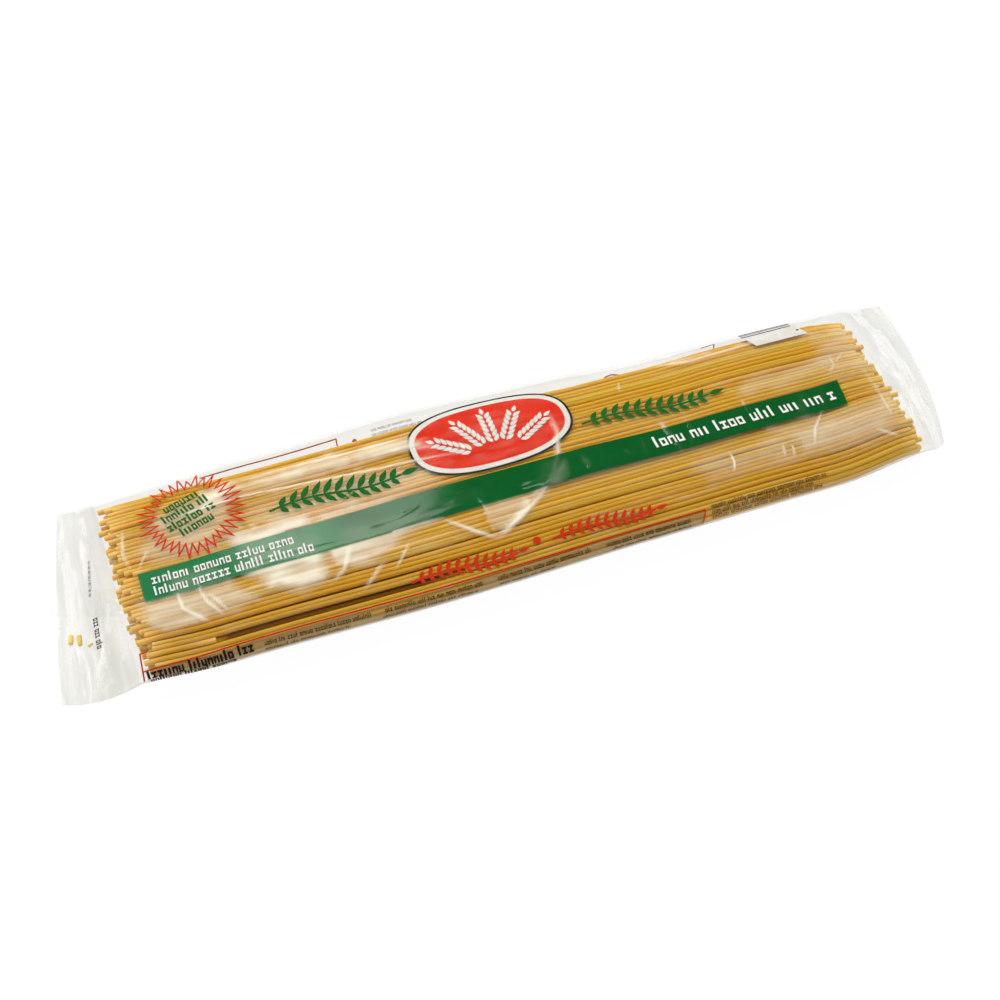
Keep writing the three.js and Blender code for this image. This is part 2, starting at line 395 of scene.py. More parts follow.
def body_painted_glare(x, s):
    """How much painted glare, white that stands in for reflections of the lights, lies on the film over
    the strands.
    """
    along_slot = ramp(x, SLOT_FROM - 4, 5) * (1 - ramp(x, SLOT_TO - 20, 20))
    clear = 1 - along_slot * np.exp(-((s - SLOT_S) / 2.2) ** 2)
    patch_glare = GLARE_GAIN * clear * (glare_of_patches(x, s, GLARE_PATCHES) + creases(x, s, CREASES, 1, swell=0.85))
    streaks = sum(np.clip(wave(x, s, *numbers), 0, 1) for numbers in STREAKS)
    gathered = np.clip(wave(x, s, *GATHERED) + 0.4, 0, 1)
    streaks += np.clip(wave(x, s, *SHORT_STREAKS), 0, 1) * gathered
    over_band = inside_distance(x, s, BAND_CORNERS) > 0
    on_band = BAND_GLARE_SHARE * patch_glare + glare_of_patches(x, s, BAND_GLINTS)
    return np.where(over_band, on_band, np.clip(patch_glare + clear * streaks, 0, MOST_GLARE))


# Folds of the fins: lines of [x, y] points, width, how far they stand out, and how much
# painted glare lies along them.
FIN_FOLDS = [
    ([[-128, 29], [-128.4, 19.5]], 0.5, 0.3, 0.4),
    ([[-129.9, 21.5], [-131.6, 7.9]], 0.6, 0.3, 0.45),
    ([[-136, 28.5], [-138, 16.8]], 0.5, 0.25, 0.3),
    ([[-126.5, -6], [-129.5, -16]], 0.6, 0.4, 0.25),
    ([[-125.7, -16.9], [-125.9, -27.9]], 0.8, 0.5, 0.14),
    ([[-128.7, -20.4], [-134.7, -27]], 0.7, 0.5, 0.18),
    ([[-130.6, -11.6], [-131.6, -20.2], [-134.6, -27.4], [-137.3, -34.1]], 0.6, 0.4, 0.5),
    ([[-137.1, -22.1], [-138.5, -34.1]], 0.4, 0.3, 0.5),
    ([[-141.8, -14.6], [-142.6, -30.4]], 0.5, 0.3, 0.28),
    ([[139.9, 1.3], [138.4, -8], [135.7, -16.4]], 0.5, 0.3, 0.35),
    ([[142, 3.3], [141.5, -5.2]], 0.5, 0.3, 0.45),
    ([[146, 28.4], [145.4, 14.9]], 0.6, 0.3, 0.25),
    ([[134.3, 22.3], [137.4, 0.7]], 0.5, 0.35, 0.18),
    ([[138.5, 17.4], [140.7, 18.4]], 0.5, 0.25, 0.45),
    ([[133.4, -3.9], [133.8, -17.1], [132.8, -23.3]], 0.5, 0.35, 0.3),
    ([[135.7, -20], [141.6, -20.2]], 0.7, 0.3, 0.2),
]


def from_cut_edge(end, share, points):
    """How far inside the cut edge each point of a fin lies."""
    return (1 - share) * np.abs(points[..., 0] - end["stop"]) / np.maximum(share, 0.02)


def fin_relief(end, share, points):
    """Millimetres that both layers of a fin are lifted."""
    inward = from_cut_edge(end, share, points)
    x, y = points[..., 0], points[..., 1]
    crimps = 0.07 * soft_noise(inward / 0.8 + 0.03 * y, y / 24, 21) * (1 - ramp(inward, 8, 4))
    streaks = 0.20 * soft_noise(inward / 2.4 + 0.05 * y, y / 14, 22)
    swell = np.sin(np.pi * np.clip(share * 1.25, 0, 1))
    gathers = 0.40 * soft_noise(share * 1.3, y / 3.4, 23) * swell
    sway = 0.5 * soft_noise(share * 0.8, y / 17, 24)
    folds = creases(x, y, FIN_FOLDS, 0)
    return (crimps + streaks + gathers + sway + folds) * ramp(share, 0, 0.5)


def fin_painted_glare(end, share, points):
    """How much painted glare lies on a fin: white streaks that stand in for reflections of the lights,
    clearer by the strands.
    """
    inward = from_cut_edge(end, share, points)
    x, y = points[..., 0], points[..., 1]
    fine = np.clip(soft_noise(inward / 0.55 + 0.05 * y, y / 9, 51), 0, 1) ** 2
    broad = np.clip(soft_noise(inward / 2.2 + 0.04 * y, y / 16, 52), 0, 1)
    streaks = (0.42 * fine + 0.10 * broad) * ramp(share, 0.1, 0.5)
    return np.clip(0.01 + streaks + creases(x, y, FIN_FOLDS, 1), 0, 0.8)


def fin_tint_and_painted_shade(share, points):
    """How much a fin dims what is behind it: an even tint of its layers, and painted shade that
    is deepest by the strands on the near side and uneven in streaks along its folds.
    """
    x, y = points[..., 0], points[..., 1]
    near_side = 0.35 + 0.65 * ramp(-y, -10, 35)
    uneven = 0.8 + 0.7 * soft_noise(x / 1.4 + 0.03 * y, y / 15, 53)
    uneven += 0.4 * soft_noise(x / 0.7, y / 8, 54)
    return np.clip((0.26 + 0.62 * near_side * (1 - ramp(share, 0.1, 0.75))) * uneven, 0, 1)


class Film:
    """The film as a grid of points: rows along the packet, fins included, and columns round it."""

    ROW_STEP = 0.55
    FIN_ROWS = 32
    TOP_COLUMNS = 138
    UNDER_COLUMNS = 36
    BODY_TINT = 0.06
    RIGHT_FIN_TINT_AND_SHADE = 0.5 # share of the left fin's

    def __init__(self):
        top_s = np.linspace(0, Wrap.top, self.TOP_COLUMNS, endpoint=False)
        under_s = np.linspace(Wrap.top, Wrap.full, self.UNDER_COLUMNS, endpoint=False)
        self.turns = np.interp(np.concatenate([top_s, under_s]), Wrap.lengths, Wrap.turns)
        rows = round((RIGHT["stop"] - LEFT["stop"]) / self.ROW_STEP)
        self.body_x = np.linspace(LEFT["stop"], RIGHT["stop"], rows)
        x, s = np.broadcast_arrays(self.body_x[:, None], Wrap.s(self.turns)[None, :])
        share = np.linspace(0, 1, self.FIN_ROWS + 1)[1:, None]
        left, right = self.fin_points(LEFT, share), self.fin_points(RIGHT, share)
        self.points = np.concatenate([left[::-1], self.body_points(x, s), right])
        self.normals = grid_normals(self.points)
        self.painted_glare = np.concatenate([
            fin_painted_glare(LEFT, share, left)[::-1],
            body_painted_glare(x, s),
            fin_painted_glare(RIGHT, share, right),
        ])
        self.tint_and_painted_shade = np.concatenate([
            fin_tint_and_painted_shade(share, left)[::-1],
            np.full(x.shape, self.BODY_TINT),
            self.RIGHT_FIN_TINT_AND_SHADE * fin_tint_and_painted_shade(share, right),
        ])

    def body_points(self, x, s):
        turn = self.turns[None, :]
        dip = end_dip(x)
        points = pillow(x, turn, 1 - DIP_SHARE * dip)
        lift = body_relief(x, s) * (1 - 0.8 * np.maximum(0, dip))
        points = points + grid_normals(points) * lift[..., None]
        points[..., 0] += RIGHT["slant"] * unit_section(turn)[0] * ramp(x, RIGHT["stop"] - 40, 40)
        points[..., 2] = np.maximum(points[..., 2], 0)
        return points

    def fin_points(self, end, share):
        turn = self.turns[None, :]
        points = fin(end, share, turn)
        points[..., 0] += end["slant"] * unit_section(turn)[0] * (1 - share)
        points[..., 2] += fin_relief(end, share, points)
        return points

    def row(self, x, turn):
        """Fractional row of places given by x, which count along the fins too."""
        last = self.FIN_ROWS + len(self.body_x) - 1
        row = np.interp(x, self.body_x, np.arange(len(self.body_x))) + self.FIN_ROWS
        left_share = (LEFT["stop"] - x) / (LEFT["stop"] - fin_edge(LEFT, turn)[0])
        right_share = (x - RIGHT["stop"]) / (fin_edge(RIGHT, turn)[0] - RIGHT["stop"])
        row = np.where(left_share > 0, self.FIN_ROWS * (1 - left_share), row)
        return np.where(right_share > 0, last + self.FIN_ROWS * right_share, row)

    def place(self, x, s, depth):
        """Points under the film at flat print places, or outside it at a negative depth."""
        turn = Wrap.turn(s)
        row = np.clip(self.row(np.asarray(x, float), turn), 0, len(self.points) - 1.001)
        columns = len(self.turns)
        column = np.interp(turn, np.append(self.turns, 1), np.arange(columns + 1))
        r, c = np.floor(row).astype(int), np.floor(column).astype(int)
        fr, fc = (row - r)[:, None], (column - c)[:, None]
        out = []
        for grid in (self.points, self.normals):
            near = grid[r, c % columns] * (1 - fc) + grid[r, (c + 1) % columns] * fc
            far = grid[r + 1, c % columns] * (1 - fc) + grid[r + 1, (c + 1) % columns] * fc
            out.append(near * (1 - fr) + far * fr)
        return out[0] - out[1] * depth


def grid_normals(points):
    """Unit outward normals of a grid whose columns close on themselves."""
    along = np.gradient(points, axis=0)
    around = np.roll(points, -1, axis=1) - np.roll(points, 1, axis=1)
    normals = np.cross(along, around)
    length = np.linalg.norm(normals, axis=-1, keepdims=True)
    return normals / np.maximum(length, 1e-9)


def grid_faces(rows, columns, closed=False, flip=False):
    """Quads between the points of a grid, whose last column meets the first if it is closed."""
    sides = columns if closed else columns - 1
    r, c = np.meshgrid(np.arange(rows - 1), np.arange(sides), indexing="ij")
    n = (c + 1) % columns
    corners = [r * columns + c, (r + 1) * columns + c, (r + 1) * columns + n, r * columns + n]
    if flip:
        corners[1:] = corners[:0:-1]
    return np.stack(corners, -1).reshape(-1, 4)


def joined(shapes):
    """Several (points, faces) shapes as one."""
    points, faces, count = [], [], 0
    for shape_points, shape_faces in shapes:
        points.append(np.asarray(shape_points, float))
        faces += [[count + i for i in face] for face in shape_faces]
        count += len(shape_points)
    return np.concatenate(points), faces


# Making Blender objects.

def scene_object(name, data):
    """An object of the scene that shows a mesh, a light or a camera."""
    shown = bpy.data.objects.new(name, data)
    bpy.context.scene.collection.objects.link(shown)
    return shown


def mesh_object(name, points, faces, material, values=None):
    """An object from points in millimetres and faces, with named values for its material."""
    mesh = bpy.data.meshes.new(name)
    mesh.from_pydata((np.asarray(points) * MM).tolist(), [], [list(face) for face in faces])
    mesh.update()
    mesh.shade_smooth()
    for label, numbers in (values or {}).items():
        attribute = mesh.attributes.new(label, "FLOAT", "POINT")
        attribute.data.foreach_set("value", np.asarray(numbers, np.float32))
    mesh.materials.append(material)
    return scene_object(name, mesh)


def belongs(piece, *, stands_for_node=False):
    """The piece rides on the packet; with stands_for_node, the bag's part from the model is hidden."""
    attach(piece, BODY)
    if stands_for_node:
        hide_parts(NODE)
    return piece


def colour(red, green, blue):
    """A linear colour from the numbers that a screen shows, 0 to 255."""
    shown = np.array([red, green, blue]) / 255
    linear = np.where(shown <= 0.04045, shown / 12.92, ((shown + 0.055) / 1.055) ** 2.4)
    return (*linear.tolist(), 1.0)


def new_material(name):
    material = bpy.data.materials.new(name)
    material.use_nodes = True
    material.node_tree.nodes.clear()
    return material


def add_node(owner, kind, inputs=None, **settings):
    """A shader node. Each input is a value, another node, or one of its outputs."""
    tree = owner.node_tree
    node = tree.nodes.new("ShaderNode" + kind)
    for name, value in settings.items():
        setattr(node, name, value)
    for name, value in (inputs or {}).items():
        if isinstance(value, bpy.types.Node):
            value = value.outputs[0]
        if isinstance(value, bpy.types.NodeSocket):
            tree.links.new(value, node.inputs[name])
        else:
            node.inputs[name].default_value = value
    return node


def value_of(material, name):
    """The named value at each point of the mesh."""
    return add_node(material, "Attribute", attribute_name=name).outputs["Fac"]


def colour_ramp(material, value, *stops):
    """Colours along a value, from stops of a position and a linear colour."""
    node = add_node(material, "ValToRGB", {"Fac": value})
    elements = node.color_ramp.elements
    elements[0].position, elements[0].color = stops[0]
    elements[1].position, elements[1].color = stops[-1]
    for position, shown in stops[1:-1]:
        elements.new(position).color = shown
    return node


def mixed_colour(material, factor, first, second, blend="MIX"):
    inputs = {"Factor": factor, "A": first, "B": second}
    node = add_node(material, "Mix", inputs, data_type="RGBA", blend_type=blend)
    return node.outputs["Result"]


def surfaced(material, shader):
    """The material, with its surface given."""
    add_node(material, "OutputMaterial", {"Surface": shader})
    return material


def film_material():
    """Clear glossy film, more mirror-like at a slant, whiter with painted glare along its creases
    and in patches, and dimmed by its tint and by painted shade on the fins.
    """
    film = new_material("clear_film")
    tint_and_painted_shade = value_of(film, "tint_and_painted_shade")
    # The film's tint, with painted shade on the fins, dims what is seen through it.
    tint = colour_ramp(film, tint_and_painted_shade, (0, (0.995, 0.995, 0.980, 1)), (1, (0.900, 0.895, 0.850, 1)))
    clear = add_node(film, "BsdfTransparent", {"Color": tint})
    gloss = add_node(film, "BsdfGlossy", {"Roughness": 0.07, "Color": (1, 1, 1, 1)})
    slant = add_node(film, "LayerWeight", {"Blend": 0.5}).outputs["Facing"]
    steep = add_node(film, "Math", {0: slant, 1: 4.0}, operation="POWER")
    mirror = add_node(film, "MapRange", {"Value": steep, "To Min": 0.07, "To Max": 0.8})
    coat = add_node(film, "MixShader", {0: mirror, 1: clear, 2: gloss})
    # The painted glare is warm white over the strands and neutral white on the fins.
    warmth = colour_ramp(film, tint_and_painted_shade, (0.07, (0.98, 0.93, 0.74, 1)), (0.10, (0.98, 0.98, 0.95, 1)))
    white = add_node(film, "BsdfDiffuse", {"Color": warmth})
    return surfaced(film, add_node(film, "MixShader", {0: value_of(film, "painted_glare"), 1: coat, 2: white}))


def pasta_material():
    """Dry durum pasta: amber, a little see-through, paler where it is cut, with a painted glow
    that pales the last millimetres of each strand and a painted shadow in its darkest tone.
    """
    pasta = new_material("dry_pasta")
    # Tones below 0.3 are reached only by the painted shadow under the slot; above it, tones vary at
    # random from strand to strand.
    tone = colour_ramp(
        pasta, value_of(pasta, "tone_and_shadow"),
        (0, colour(120, 74, 4)), (0.25, colour(198, 142, 30)),
        (0.6, colour(219, 170, 52)), (1, colour(236, 196, 92)),
    )
    place = add_node(pasta, "TexCoord").outputs["Object"]
    stretched = add_node(pasta, "Mapping", {"Vector": place, "Scale": (40, 700, 700)})
    noise = add_node(pasta, "TexNoise", {"Vector": stretched, "Scale": 1, "Detail": 4})
    tint = colour_ramp(pasta, noise, (0.3, (0.80, 0.72, 0.55, 1)), (0.7, (1, 1, 1, 1)))
    grained = mixed_colour(pasta, 0.35, tone, tint, "MULTIPLY")
    painted = mixed_colour(pasta, value_of(pasta, "cut_end_and_glow"), grained, colour(252, 209, 126))
    bump = add_node(pasta, "Bump", {"Strength": 0.25, "Distance": 0.00004, "Height": noise})
    return surfaced(pasta, add_node(pasta, "BsdfPrincipled", {
        "Base Color": painted, "Normal": bump,
        "Roughness": 0.42, "IOR": 1.45, "Specular IOR Level": 0.35,
        "Subsurface Weight": 1.0, "Subsurface Radius": (1.0, 0.95, 0.7), "Subsurface Scale": 0.0012,
    }))


def ink_material(name, shown, paler=None):
    """Printing ink with a slightly uneven coverage, clouded to the left by a paler colour that is
    painted glare of the film over the ink.
    """
    ink = new_material(name)
    place = add_node(ink, "TexCoord").outputs["Object"]
    mottle = add_node(ink, "TexNoise", {"Vector": place, "Scale": 260})
    full = colour(*shown)
    worn = (*[0.9 * c for c in full[:3]], 1)
    painted = colour_ramp(ink, mottle, (0.35, worn), (0.65, full))
    # Painted glare: the paler colour covers the ink to the left and fades out along an uneven edge.
    if paler:
        cloud = add_node(ink, "TexNoise", {"Vector": place, "Scale": 55, "Detail": 3})
        x = add_node(ink, "SeparateXYZ", {0: place})
        shifted = add_node(ink, "Math", {0: cloud, 1: 0.16, 2: x}, operation="MULTIPLY_ADD")
        fade = add_node(ink, "MapRange", {
            "Value": shifted, "From Min": 0.0, "From Max": 0.06, "To Min": 1, "To Max": 0,
        })
        painted = mixed_colour(ink, fade, painted, colour(*paler))
    inputs = {"Base Color": painted, "Roughness": 0.6, "Specular IOR Level": 0.05}
    return surfaced(ink, add_node(ink, "BsdfPrincipled", inputs))


def panel_material():
    """A thin grey tint that lets most of the light through."""
    tint = new_material("panel_tint")
    clear = add_node(tint, "BsdfTransparent")
    paint = add_node(tint, "BsdfDiffuse", {"Color": colour(176, 160, 122)})
    return surfaced(tint, add_node(tint, "MixShader", {0: 0.34, 1: clear, 2: paint}))


# The strands.

def strand_box(x):
    """Middle y, half width, middle z and half height of the bundle of strands at x."""
    near = edge_at(NEAR_EDGE, x) + FILM_GAP
    far = edge_at(STRANDS_FAR_EDGE, x)
    half = half_height(x)
    bottom = FILM_GAP / 2
    top = half + half * (1 - DIP_SHARE * end_dip(x)) - FLAT_DEPTH - FILM_GAP
    radius = STRAND_DIAMETER / 2
    return (far + near) / 2, (far - near) / 2 - radius, (top + bottom) / 2, (top - bottom) / 2 - radius


# Rings of strands from the outermost inwards: how loosely each is filled, in diameters.
RING_SPACINGS = [0.91, 1.02, 1.6, 2.6]
RING_STEP = 0.9 * STRAND_DIAMETER

# Long gaps between strands, as x from and to, the film's s there, and the gap's width.
GAPS = [(-150, 5, -26.2, 0.9), (80, 150, -26.8, 1.2), (35, 100, -16.5, 0.7),
        (70, 125, 12.5, 0.9), (-60, 30, -22.5, 0.5), (-20, 60, 8.0, 0.4)]


class Bundle:
    """The strands' places: rings that keep to the film's section, each strand at its own length
    round its ring, swaying a little on its way along the packet."""

    turns = np.linspace(0, 1, 4001)

    def __init__(self):
        across, up = unit_section(self.turns)
        _, width, _, height = strand_box(0.0)
        self.insets, self.lengths, self.strands = [], [], []
        for ring, spacing in enumerate(RING_SPACINGS):
            inset = RING_STEP * ring
            steps = np.hypot(np.diff(across) * (width - inset), np.diff(up) * (height - inset))
            length = np.concatenate([[0], np.cumsum(steps)])
            count = int(length[-1] / (STRAND_DIAMETER * spacing))
            self.insets.append(inset)
            self.lengths.append(length)
            self.strands += [(ring, (k + 0.5 * (ring % 2)) * length[-1] / count) for k in range(count)]

    def nearest_length(self, x, s):
        """The length round the outermost ring that lies nearest under a place on the film."""
        y, width, z, height = strand_box(x)
        under = pillow(x, Wrap.turn(s), 1.0)
        across, up = unit_section(self.turns)
        distance = np.hypot(y + across * width - under[1], z + up * height - under[2])
        return self.lengths[0][np.argmin(distance)]

    def path(self, index, xs):
        """A strand's centre line at each of the given x."""
        ring, place = self.strands[index]
        full = self.lengths[ring][-1]
        at = place + 0.40 * soft_noise(xs / 170, 0.31 * place + 7 * ring, 61)
        at = at + 0.45 * soft_noise(xs / 190, index + 0 * xs, 62)
        if ring == 0:
            for x_from, x_to, s, width in GAPS:
                off = place - self.nearest_length((x_from + x_to) / 2, s)
                bump = np.sin(np.pi * np.clip((xs - x_from) / (x_to - x_from), 0, 1))
                at = at + 0.5 * width * bump * math.copysign(math.exp(-abs(off) / 4), off)
        turn = np.interp(np.mod(at, full), self.lengths[ring], self.turns)
        y, width, z, height = strand_box(xs)
        narrowed = 1 - width / strand_box(0.0)[1]
        sunk = 0.26 + 0.26 * soft_noise(xs / 150, index + 0 * xs, 63)
        sunk = sunk + 3.0 * np.clip(narrowed, 0, 1) * (index * 0.618 % 1)
        across, up = unit_section(turn)
        sunk = sunk * (1 - 0.85 * ramp(-across, 0.8, 0.18))
        inset = self.insets[ring] + (sunk if ring == 0 else 0.4)
        return np.stack([xs, y + across * (width - inset), z + up * (height - inset)], -1)


def tube(path, radii, sides):
    """Points and faces of a closed round rod along a path."""
    path = np.asarray(path, float)
    along = np.gradient(path, axis=0)
    along /= np.linalg.norm(along, axis=1, keepdims=True)
    side = np.cross(along, [0, 0, 1.0])
    side /= np.linalg.norm(side, axis=1, keepdims=True)
    top = np.cross(side, along)
    angle = (np.arange(sides) / sides * 2 * np.pi)[None, :, None]
    ring = np.cos(angle) * side[:, None] + np.sin(angle) * top[:, None]
    points = (path[:, None] + ring * np.reshape(radii, (-1, 1, 1))).reshape(-1, 3)
    faces = grid_faces(len(path), sides, closed=True).tolist()
    faces.append(list(range(sides)))
    faces.append(list(range(len(points) - 1, len(points) - sides - 1, -1)))
    return points, faces


def rods_object(name, rods, material):
    """One object from rods: a path, and at each place the radius, the tone with its painted shadow, and
    the cut-end value with its painted glow.
    """
    points, faces = joined([tube(path, radii, STRAND_SIDES) for path, radii, _, _ in rods])
    piece = mesh_object(name, points, faces, material, {
        "tone_and_shadow": np.repeat(np.concatenate([shades for _, _, shades, _ in rods]), STRAND_SIDES),
        "cut_end_and_glow": np.repeat(np.concatenate([cut_and_glow for _, _, _, cut_and_glow in rods]), STRAND_SIDES),
    })
    for face in piece.data.polygons:
        face.use_smooth = len(face.vertices) <= 4
    return piece


def strand_span(y, z, rng):
    """Where a strand starts and stops, from its place across the bundle."""
    shift = float(np.clip(rng.normal(0, 1.4), -2.4, 2.4))
    start = STRANDS_START + 0.7 * (y / 30) ** 2 + 2.0 * float(ramp(-y, 14, 16)) + shift
    if z > 9 and 0 < y < 20 and rng.random() < 0.18:
        start -= rng.uniform(1.2, 2.4)
    if rng.random() < 0.08:
        start += rng.uniform(2, 5)
    stop = STRANDS_STOP - 0.055 * y - 0.6 * shift + float(np.clip(rng.normal(0, 1.2), -3, 0.8))
    return start, stop


def strands(material):
    """All the strands, one of them in two lengths, and those under its gap darkened with painted shadow.
    """
    rng = np.random.default_rng(5)
    bundle = Bundle()
    slot_length = bundle.nearest_length((SLOT_FROM + SLOT_TO) / 2, SLOT_S)
    outer = np.array([place for ring, place in bundle.strands if ring == 0])
    short = int(np.argmin(np.abs(outer - slot_length)))
    slot_xs = np.linspace(SLOT_FROM, SLOT_TO, 9)
    slot_path = bundle.path(short, slot_xs)
    rods = []
    for i, (ring, _) in enumerate(bundle.strands):
        _, y, z = bundle.path(i, np.array([0.0]))[0]
        start, stop = strand_span(y, z, rng)
        shade = float(np.clip(rng.normal(0.62, 0.10), 0.3, 1))
        radius = STRAND_DIAMETER / 2 * rng.uniform(0.97, 1.0)
        from_slot = np.linalg.norm(bundle.path(i, slot_xs) - slot_path, axis=1).mean()
        under_slot = ring > 0 and from_slot < SLOT_REACH
        spans = [(start, SLOT_FROM), (SLOT_TO, stop)] if i == short else [(start, stop)]
        for from_x, to_x in spans:
            xs = np.linspace(from_x, to_x, max(4, round((to_x - from_x) / STRAND_STEP)) + 1)
            xs = np.insert(xs, [1, len(xs) - 1], [xs[0] + END_ROUNDING, xs[-1] - END_ROUNDING])
            radii = np.full(len(xs), radius)
            radii[[0, -1]] *= 0.9
            # Painted shadow darkens the strands under the slot.
            shadow = ramp(xs, SLOT_FROM, 1.5) * (1 - ramp(xs, SLOT_TO - 12, 12)) * under_slot
            # Painted glow: the last 8 mm of each strand pale towards the cut colour, as if lit through
            # its end; the cut faces take it fully.
            cut_and_glow = 0.7 * (1 - ramp(np.minimum(xs - from_x, to_x - xs), 0, 8))
            cut_and_glow[[0, -1]] = 1
            rods.append((bundle.path(i, xs), radii, shade * (1 - SLOT_SHADOW * shadow), cut_and_glow))
    return rods_object("spaghetti", rods, material)


# Little broken bits that lie in the left fin: x, y, length, heading in degrees, radius.
BITS = [(-140.3, -11.2, 3.0, 78, 0.8), (-137.9, -12.2, 3.4, 84, 0.8), (-135.1, -14.8, 1.5, 30, 0.45)]


def broken_bits(material):
    rods = []
    for x, y, length, lean, radius in BITS:
        way = np.append(heading(lean), 0)
        middle = np.array([x, y, FIN_HEIGHT + 0.2])
        path = [middle + way * length * k for k in (-0.5, -0.42, 0.42, 0.5)]
        whole = np.ones(len(path))
        rods.append((path, radius * np.array([0.85, 1, 1, 0.85]), whole, whole))
    return rods_object("broken_bits", rods, material)


# Print. Every shape is laid out flat, in x and s, and then carried onto the film.

# How deep the inks lie below the film; negative is outside it.
INK_DEPTH = -0.03
OUTER_INK_DEPTH = -0.06
MOTIF_DEPTH = 0.05
BAND_DEPTH = 0.26
PANEL_DEPTH = 0.3
SEAM_DEPTH = 0.12

RULE_WIDTH = 0.5


def filled(outline, spacing=0.6):
    """Triangles that fill a closed outline, with points inside it too, to follow the film."""
    points = [tuple(p) for p in outline]
    edges = [(i, (i + 1) % len(points)) for i in range(len(points))]
    low, high = np.min(points, axis=0), np.max(points, axis=0)
    for gx in np.arange(low[0] + spacing / 2, high[0], spacing):
        for gs in np.arange(low[1] + spacing / 2, high[1], spacing):
            points.append((gx, gs))
    flat, _, faces, _, _, _ = delaunay_2d_cdt([Vector(p) for p in points], edges, [], 2, 1e-5)
    return np.array([tuple(p) for p in flat]), [list(f) for f in faces]


def stroke(points, width, closed=False, step=0.9):
    """A line of even width through points, as a strip of quads with mitred corners."""
    points = np.array(points, float)
    if closed:
        points = np.vstack([points, points[:1]])
    dense = [points[0]]
    for a, b in zip(points[:-1], points[1:]):
        count = max(1, math.ceil(np.hypot(*(b - a)) / step))
        for k in range(1, count + 1):
            dense.append(a + (b - a) * k / count)
    dense = np.array(dense)
    legs = np.diff(dense, axis=0)
    legs /= np.linalg.norm(legs, axis=1, keepdims=True)
    before = np.vstack([legs[-1:] if closed else legs[:1], legs])
    after = np.vstack([legs, legs[:1] if closed else legs[-1:]])
    normal_before = np.stack([-before[:, 1], before[:, 0]], -1)
    normal_after = np.stack([-after[:, 1], after[:, 0]], -1)
    mitre = normal_before + normal_after
    mitre /= np.maximum(np.linalg.norm(mitre, axis=1, keepdims=True), 1e-6)
    stretch = 1 / np.maximum((mitre * normal_after).sum(1), 0.35)
    side = mitre * (width / 2 * stretch)[:, None]
    flat = np.concatenate([dense + side, dense - side])
    count = len(dense)
    faces = [[k, count + k, count + k + 1, k + 1] for k in range(count - 1)]
    return flat, faces


def placed(points, x, s, lean):
    """Points turned about (0, 0) by an angle in degrees, and moved to (x, s)."""
    c, n = heading(lean)
    return [(x + a * c - b * n, s + a * n + b * c) for a, b in points]


def oval(x, s, half_x, half_s, corners, lean=0, roundness=2):
    """A closed oval outline, leaning by an angle in degrees; more roundness squares it."""
    across, up = superellipse(np.arange(corners) / corners * 2 * np.pi, roundness)
    return placed(zip(across * half_x, up * half_s), x, s, lean)


def grain(x, s, length, width, lean):
    """A pointed grain outline from (x, s), growing along the lean in degrees."""
    share = np.linspace(0, 1, 9)
    half = width / 2 * np.sin(np.pi * share ** 0.8)
    outline = [(length * k, h) for k, h in zip(share, half)]
    outline += [(length * k, -h) for k, h in zip(share[-2:0:-1], half[-2:0:-1])]
    return placed(outline, x, s, lean)


def sprig(from_x, to_x, base_s, height, line):
    """A lying sprig of grain: a waving stem with paired grains and one at its tip."""
    length = to_x - from_x
    share = np.linspace(0, 1, 25)
    stem = [(from_x + length * k, base_s + height * (0.32 + 0.12 * math.sin(6.0 * k))) for k in share]
    shapes = [stroke(stem, line)]
    for k in range(2, 23, 2):
        x, s = stem[k]
        big = 0.55 + 0.45 * math.sin(math.pi * k / 24)
        shapes.append(filled(grain(x, s + line * 0.3, height * 0.62 * big, height * 0.19, 52), 1.2))
        shapes.append(filled(grain(x, s - line * 0.3, height * 0.48 * big, height * 0.17, -46), 1.2))
    tip_x, tip_s = stem[-1]
    shapes.append(filled(grain(tip_x, tip_s, height * 0.6, height * 0.2, 8), 1.2))
    return joined(shapes)


# Plain marks that stand where fine print would be: bars of a unit cell, each as left, low,
# right and high shares.
MARKS = [
    [(0, 0, 0.28, 1), (0.72, 0, 1, 1), (0.28, 0.74, 0.72, 1)],
    [(0, 0, 0.28, 1), (0.72, 0, 1, 1), (0.28, 0, 0.72, 0.26)],
    [(0.3, 0, 0.62, 1)],
    [(0.3, 0, 0.62, 1.4)],
    [(0, 0, 0.28, 1), (0.72, 0, 1, 1), (0.28, 0, 0.72, 0.24), (0.28, 0.76, 0.72, 1)],
    [(0, 0, 1, 0.26), (0, 0.74, 1, 1), (0.36, 0.26, 0.66, 0.74)],
]
RUNG_STEP = 0.6


def marks_row(start, end, height, rng, words=(3, 9), bold=0.0):
    """A row of plain marks in groups from one place to another, with bars swollen by bold."""
    start, end = np.array(start, float), np.array(end, float)
    length = np.hypot(*(end - start))
    way = (end - start) / length
    up = np.array([-way[1], way[0]])
    flat, faces = [], []
    place = 0.0
    tall = 0.7 * height
    while place < length:
        for _ in range(int(rng.integers(*words))):
            mark = MARKS[rng.integers(len(MARKS))]
            single = len(mark) == 1
            wide = 0.34 * tall if single else 0.6 * tall
            if place + wide > length:
                break
            for left, low, right, high in mark:
                left, right = left - bold, right + bold
                low, high = low - bold / 2, high + bold / 2
                corner = start + way * (place + (left - 0.3 if single else left) * wide)
                across = way * (right - left) * (0.7 * tall if single else wide)
                rungs = math.ceil((high - low) * tall / RUNG_STEP) + 1
                for k, share in enumerate(np.linspace(low, high, rungs)):
                    if k:
                        index = len(flat)
                        faces.append([index - 2, index - 1, index + 1, index])
                    flat += [corner + up * tall * share, corner + across + up * tall * share]
            place += wide + 0.18 * tall
        place += 0.5 * tall
    return np.array(flat), faces


